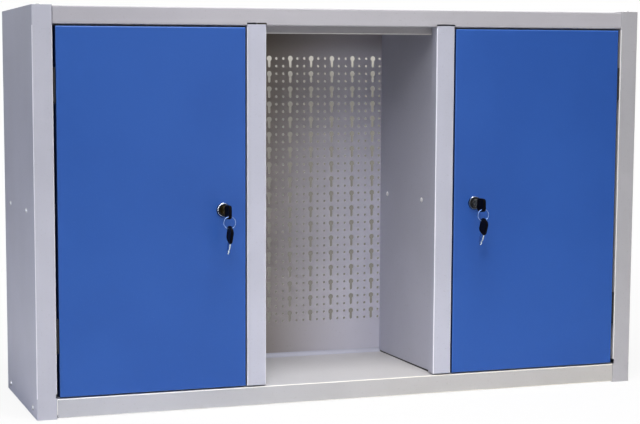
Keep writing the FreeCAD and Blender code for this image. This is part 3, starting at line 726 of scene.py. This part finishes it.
def keyBow(name, node, body, place):
    half, edge, curve = bow["half"], bow["edge"], bow["edge"] * bow["edgeMiddle"]
    left, right, low, high = bow["end"], bow["base"], bow["low"], bow["high"]
    mesh = bmesh.new()

    # A ring of vertices at one place through the bow's thickness
    def loop(across, points):
        return ringOf(mesh, [(across, y, z) for y, z in points])

    loops = []
    for across, inset in ((-half, edge), (-half + curve, curve), (-half + edge, 0),
                          (half - edge, 0), (half - curve, curve), (half, edge)):
        outline = roundRectangle(low + inset, high - inset, left + inset, right - inset,
                                 bow["corner"] - inset, bow["steps"])
        loops.append(loop(across, outline))
    bridge(mesh, loops)
    rim = circle(bow["hole"], bow["holeCount"])
    hole = [(left + bow["holeIn"] + out, bow["holeSide"] + up) for out, up in rim]
    holes = [loop(across, hole) for across in (-half, half)]
    bridge(mesh, holes)
    # each side: the sunk field, then the flat between the outline, the hole and the field's rim
    margin, taper = bow["fieldMargin"], bow["fieldTaper"]
    field = roundRectangle(low + margin, high - margin, left + bow["fieldIn"], right - margin,
                           bow["fieldCorner"], bow["fieldSteps"])
    middle = ((left + right) / 2, (low + high) / 2)
    bottom = [(y + (middle[0] - y) * taper, z + (middle[1] - z) * taper) for y, z in field]
    for sign, outer, inner in ((-1, loops[0], holes[0]), (1, loops[-1], holes[1])):
        rim = loop(sign * half, field)
        sunk = loop(sign * (half - bow["sunk"]), bottom)
        bridge(mesh, (rim, sunk))
        mesh.faces.new(sunk)
        edges = []
        for around in (outer, inner, rim):
            for pair in zip(around, around[1:] + around[:1]):
                edges.append(mesh.edges.get(pair) or mesh.edges.new(pair))
        bmesh.ops.triangle_fill(mesh, use_beauty=True, edges=edges)
    faceOut(mesh)
    bmesh.ops.transform(mesh, matrix=place, verts=mesh.verts)
    piece = addPiece(name, mesh, "black_plastic", body)
    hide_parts(node)


# The spare hangs from the ring with its blade down and its tip towards the door
spare = {"tilt": 25, "holeBack": -31.1 * mm, "holeSide": 7 * mm, "holeUp": 274.4 * mm}


def rotation(degrees, axis):
    return Matrix.Rotation(math.radians(degrees), 4, axis)


def sparePlace(x):
    turn = rotation(spare["tilt"], "X") @ rotation(-90, "X") @ rotation(180, "Y")
    along, beside = turn @ Vector((0, 1, 0)), turn @ Vector((0, 0, 1))
    back = spare["holeBack"] - spare["holeBack"] * along.y + spare["holeSide"] * beside.y
    up = spare["holeUp"] - spare["holeBack"] * along.z + spare["holeSide"] * beside.z
    return Matrix.Translation((x, lock["front"] + back, up)) @ turn


# Split ring: two turns of flattened wire side by side, with the step where one passes to the other
ring = {
    "radius": 9 * mm,
    "wire": 0.42 * mm,
    "wireWidth": 1.7,
    "wireStep": 0.95,
    "y": -161.1 * mm,
    "z": 284.0 * mm,
    "steps": 96,
    "section": 6,
    "gap": 40,
    "start": 200,
}


def keyRing(hand, x):
    mesh = bmesh.new()
    rings = []
    gap = ring["gap"]
    for index in range(ring["steps"] + 1):
        angle = (720 - gap) * index / ring["steps"]
        shift = min(max((angle - 360 + gap) / gap, 0), 1) * 2 - 1
        turn = math.radians(angle + ring["start"])
        points = []
        for out, aside in circle(1, ring["section"]):
            radius = ring["radius"] + ring["wire"] * ring["wireWidth"] * out
            y = ring["y"] + (shift + aside) * ring["wire"] * ring["wireStep"]
            points.append((x + radius * math.cos(turn), y, ring["z"] + radius * math.sin(turn)))
        rings.append(ringOf(mesh, points))
    tube(mesh, rings)
    faceOut(mesh)
    piece = addPiece("splitRing_" + hand, mesh, "key_steel", "ring_" + hand, smooth=True,
                     finish=variants["ring"])
    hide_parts("key_ring_" + hand)


# A turned piece about the lock's axis, from corners of (place along the axis, radius)
def turnedPiece(name, corners, slot, body, x, finish=None):
    mesh = bmesh.new()
    rings = []
    for along, radius in corners:
        points = circle(radius, lock["count"])
        rings.append(ringOf(mesh, [(x + out, lock["front"] + along, lock["z"] + up) for out, up in points]))
    bridge(mesh, rings + rings[:1])
    faceOut(mesh)
    return addPiece(name, mesh, slot, body, smooth=True, finish=finish)


# Lock: a polished bezel with a rounded rim, round a black ring in its sunk face that is a painted shadow
bezel = {
    "outer": 10.7 * mm,
    "height": 2.6 * mm,
    "round": 1.5 * mm,
    "steps": 5,
    "rim": 8.9 * mm,
    "rimSlope": 0.3 * mm,
    "rimTaper": 0.1 * mm,
    "sunk": 1.3 * mm,
    "dish": 0.5 * mm,
    "bore": 6.06 * mm,
    "barrel": 9.0 * mm,
    "length": 19 * mm,
}
shadowRing = {"proud": 0.05 * mm, "inset": 0.15 * mm, "depth": 0.4 * mm}


def lockHousing(hand, x):
    top, face, edge = -bezel["height"], -bezel["sunk"], bezel["round"]
    corners = [(0, bezel["outer"])]
    corners += arc(top + edge, bezel["outer"] - edge, edge, 90, 180, bezel["steps"])
    corners += [(top, bezel["rim"] + bezel["rimSlope"]), (top + bezel["rimSlope"], bezel["rim"]),
                (face, bezel["rim"] - bezel["rimTaper"]), (face + bezel["dish"], bezel["bore"]),
                (bezel["length"], bezel["bore"]), (bezel["length"], bezel["barrel"]), (0, bezel["barrel"])]
    piece = turnedPiece("lockBezel_" + hand, corners, "chrome", "door_" + hand, x, variants["bezel"])
    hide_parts("lock_housing_" + hand)
    proud, depth = shadowRing["proud"], shadowRing["depth"]
    outer, inner = bezel["rim"] - shadowRing["inset"], bezel["bore"] + proud
    corners = [(face - proud, outer), (face - proud, inner), (face + depth, inner), (face + proud, outer)]
    turnedPiece("lockShadowRing_" + hand, corners, "black_steel", "door_" + hand, x)


for hand, sign in sides:
    x = lock["x"] * sign
    keyPlace = Matrix.Translation((x, lock["front"], lock["z"]))
    keyBow("keyBow_" + hand, "key_bow_" + hand, "key_" + hand, keyPlace)
    keyBow("spareBow_" + hand, "spare_key_bow_" + hand, "spare_" + hand, sparePlace(x))
    keyRing(hand, x)
    lockHousing(hand, x)
print("locks and keys")

# Screws: a low dome with a drive recess over a flat rim, on its shank
screw = {
    "shank": 2.0 * mm,
    "length": 7 * mm,
    "tip": 0.3 * mm,
    "rim": 4.0 * mm,
    "rimHeight": 0.35 * mm,
    "domeFoot": 0.5 * mm,
    "domeFlare": 0.25 * mm,
    "dome": 3.3 * mm,
    "domeShift": 0.1 * mm,
    "domeTurns": (15, 35, 55, 75),
    "height": 2.0 * mm,
    "recess": 0.5 * mm,
    "recessDepth": 0.9 * mm,
    "recessEnd": 0.05 * mm,
    "count": 16,
}
screwPlace = {
    "topX": 0.478,
    "topY": 0.116,
    "topZ": 0.6,
    "sideX": 0.49,
    "wallX": 0.1445,
    "baseY": 0.097,
    "baseZ": 0.013,
    "shelfY": (-0.066, 0.072),
    "shelfZ": 0.302,
}


# Corners of (place along the axis, radius) from the shank's tip to the recess
def screwProfile():
    foot, dome = screw["domeFoot"], screw["dome"]
    profile = [(-screw["length"], screw["tip"]), (-screw["length"], screw["shank"]), (0, screw["shank"]),
               (0, screw["rim"]), (screw["rimHeight"], screw["rim"]), (foot, dome + screw["domeFlare"])]
    for turn in screw["domeTurns"]:
        angle = math.radians(turn)
        along = foot + (screw["height"] - foot) * math.sin(angle)
        profile.append((along, dome * math.cos(angle) + screw["domeShift"]))
    bottom = profile[-1][0] - screw["recessDepth"]
    return profile + [(bottom, screw["recess"]), (bottom, screw["recessEnd"])]


# For each node of screws: where their heads stand, and which way these face
def screwPlaces():
    at = screwPlace
    top = [(sign * at["topX"], y, at["topZ"]) for hand, sign in sides for y in (-at["topY"], at["topY"])]
    places = {"top_screws": (top, (0, 0, 1))}
    for hand, sign in sides:
        base = [(sign * at["sideX"], y, at["baseZ"]) for y in (-at["baseY"], at["baseY"])]
        outer = [(sign * at["sideX"], y, at["shelfZ"]) for y in at["shelfY"]]
        inner = [(sign * at["wallX"], y, at["shelfZ"]) for y in at["shelfY"]]
        places["base_screws_" + hand] = (base, (sign, 0, 0))
        places["shelf_outer_screws_" + hand] = (outer, (sign, 0, 0))
        places["shelf_inner_screws_" + hand] = (inner, (-sign, 0, 0))
    return places


def screwHeads():
    profile = screwProfile()
    for node, (places, outward) in screwPlaces().items():
        turn = Vector(outward).to_track_quat("Z", "Y").to_matrix()
        mesh = bmesh.new()
        for place in places:
            rings = []
            for along, radius in profile:
                points = [turn @ Vector((*point, along)) for point in circle(radius, screw["count"])]
                rings.append(ringOf(mesh, [point + Vector(place) for point in points]))
            tube(mesh, rings)
        faceOut(mesh)
        words = node.split("_")
        name = words[0] + "".join(word.capitalize() for word in words[1:])
        finish = variants["innerScrew"] if "inner" in node else None
        piece = addPiece(name, mesh, "zinc_steel", "casing", smooth=True, finish=finish)
        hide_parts(node)


screwHeads()
print("screws")

# Studio: a pale floor that sweeps up far behind, and white surroundings. Seen from the camera, a strip
# of floor behind the cabinet is painted in shade, for the look through the panel's holes. It fans out from
# the camera's x and y, and its glow changes up the sweep.
studio = {
    "floorColour": (0.86, 0.855, 0.85),
    "floorGlow": 0.9,
    "farGlow": 1.0,
    "farReach": (2, 4),
    "floorSize": 400,
    "sweep": ((30, 0), (30.6, 0.15), (31, 0.5), (31.1, 1.25)),
    "fibreSize": 0.004,
    "fibreDetail": 3.0,
    "fibreShade": 0.985,
    "shadeColour": (0.03, 0.03, 0.032),
    "shadeTint": (1.0, 0.95, 0.86),
    "shadeNear": 0.19,
    "shadeNearReach": (3, 12),
    "shadeGlow": (0.235, 0.32, 0.52),
    "shadeRise": (0.25, 0.55, 0.95),
    "shadeFan": (-0.8848, -2.3387),
    "shadeSlope": 0.3627,
    "shadeWidth": (0.058, 0.08),
    "shadeStart": 2.9,
    "surroundings": 0.06,
    "aim": (-0.05, 0, 0.3),
}
# In front: a lamp at the upper left, a stronger one higher up and a weak one low down. A bluish lamp
# stands at the left and a broad one behind.
lamps = {
    "keyLamp": {"place": (-0.7, -1.5, 1.7), "size": 0.8, "power": 15.3, "colour": (0.99, 0.98, 1)},
    "topLamp": {"place": (-0.05, -0.7, 2.2), "size": 0.8, "power": 41, "colour": (1, 0.985, 0.96)},
    "lowLamp": {"place": (0.30, -1.3, 0.35), "size": 0.6, "power": 1.5, "colour": (1, 1, 1)},
    "sideLamp": {"place": (-2.3, 0.05, 0.2), "size": 0.9, "power": 11.8, "colour": (0.72, 0.78, 1)},
    "backLamp": {"place": (0.9, 3.0, 2.2), "size": 1.6, "power": 20, "colour": (1, 1, 1)},
}


# The floor's paper glows evenly to the camera, so that the ground stays white as in the photograph
def palePaper():
    paper = Surface(bpy.data.materials.new("palePaper"))
    spot = paper.node("SeparateXYZ", {}, {0: paper.place()})
    # Painted shade: in a strip behind the cabinet the paper is darkened and its glow dimmed and warmed
    across, back = spot - studio["shadeFan"][0], spot.beside("Y") - studio["shadeFan"][1]
    slope = paper.math("ABSOLUTE", paper.math("DIVIDE", across, back) - studio["shadeSlope"], 0)
    ahead = paper.math("GREATER_THAN", back, studio["shadeStart"])
    strip = paper.ramp(slope, *studio["shadeWidth"], 1.0, 0.0) * ahead
    fibre = paper.noise(studio["fibreSize"], studio["fibreDetail"])
    fibreColour = tuple(share * studio["fibreShade"] for share in studio["floorColour"])
    colour = paper.blend(fibre, studio["floorColour"], fibreColour)
    colour = paper.blend(strip, colour, studio["shadeColour"])
    plain = paper.node("BsdfDiffuse", {}, {"Color": colour})
    glowColour = paper.blend(strip, (1, 1, 1), studio["shadeTint"])
    glow = paper.node("Emission", {}, {"Color": glowColour, "Strength": 1.0})
    low, middle, high = studio["shadeRise"]
    dim, half, light = studio["shadeGlow"]
    up = spot.beside("Z")
    shaded = paper.ramp(up, low, middle, dim, half) + paper.ramp(up, middle, high, 0.0, light - half)
    shaded = shaded - paper.ramp(back, *studio["shadeNearReach"], dim - studio["shadeNear"], 0.0)
    bright = paper.ramp(back, *studio["farReach"], studio["floorGlow"], studio["farGlow"])
    share = bright - strip * (bright - shaded)
    seen = paper.node("LightPath", output="Is Camera Ray")
    return paper.show(paper.node("MixShader", {}, {0: seen * share, 1: plain, 2: glow}))


def addFloor():
    size = studio["floorSize"] / 2
    mesh = bmesh.new()
    lines = [ringOf(mesh, [(x, y, z) for x in (-size, size)]) for y, z in ((-size, 0), *studio["sweep"])]
    bridge(mesh, lines, closed=False)
    floor = addMesh("studioFloor", mesh)
    floor.data.materials.append(palePaper())


# White to the camera and in reflections, and dim as a light on the cabinet
def addWorld():
    world = Surface(bpy.data.worlds.new("studio"), "OutputWorld")
    bpy.context.scene.world = world.owner
    path = world.node("LightPath", output="Is Camera Ray")
    seen = world.math("MAXIMUM", path, path.beside("Is Glossy Ray"))
    seen = world.math("MAXIMUM", seen, path.beside("Is Transmission Ray"))
    strength = world.node("MapRange", {}, {"Value": seen, "To Min": studio["surroundings"], "To Max": 1.0})
    world.show(world.node("Background", {}, {"Color": (1, 1, 1, 1), "Strength": strength}))


def addLamp(name, look):
    lamp = bpy.data.lights.new(name, "AREA")
    lamp.shape = "SQUARE"
    lamp.size = look["size"]
    lamp.energy = look["power"]
    lamp.color = look["colour"]
    holder = addObject(name, lamp)
    holder.location = look["place"]
    holder.visible_camera = False
    holder.rotation_mode = "QUATERNION"
    holder.rotation_quaternion = (Vector(look["place"]) - Vector(studio["aim"])).to_track_quat("Z", "Y")


addFloor()
addWorld()
for name, look in lamps.items():
    addLamp(name, look)
print("studio")

# The camera stands where the photograph was taken: left of the middle, a little below the top
view = {
    "place": (-0.8848, -2.3387, 0.4956),
    "right": (0.9534142645, -0.3016614797, -0.0012616735),
    "down": (-0.0333378779, -0.1012072143, -0.9943066356),
    "forward": (0.2998163206, 0.9480281913, -0.1065491554),
    "sensor": 36,
    "lens": 87.559,
    "shift": (0.13116, 0.05141),
}


def addCamera():
    camera = bpy.data.cameras.new("camera")
    camera.sensor_width = view["sensor"]
    camera.lens = view["lens"]
    camera.shift_x, camera.shift_y = view["shift"]
    holder = addObject("camera", camera)
    right, down, forward = Vector(view["right"]), Vector(view["down"]), Vector(view["forward"])
    turn = Matrix((right, -down, -forward)).transposed()
    holder.matrix_world = Matrix.Translation(view["place"]) @ turn.to_4x4()
    bpy.context.scene.camera = holder


addCamera()
bpy.context.scene.view_settings.view_transform = "Standard"
print("camera")
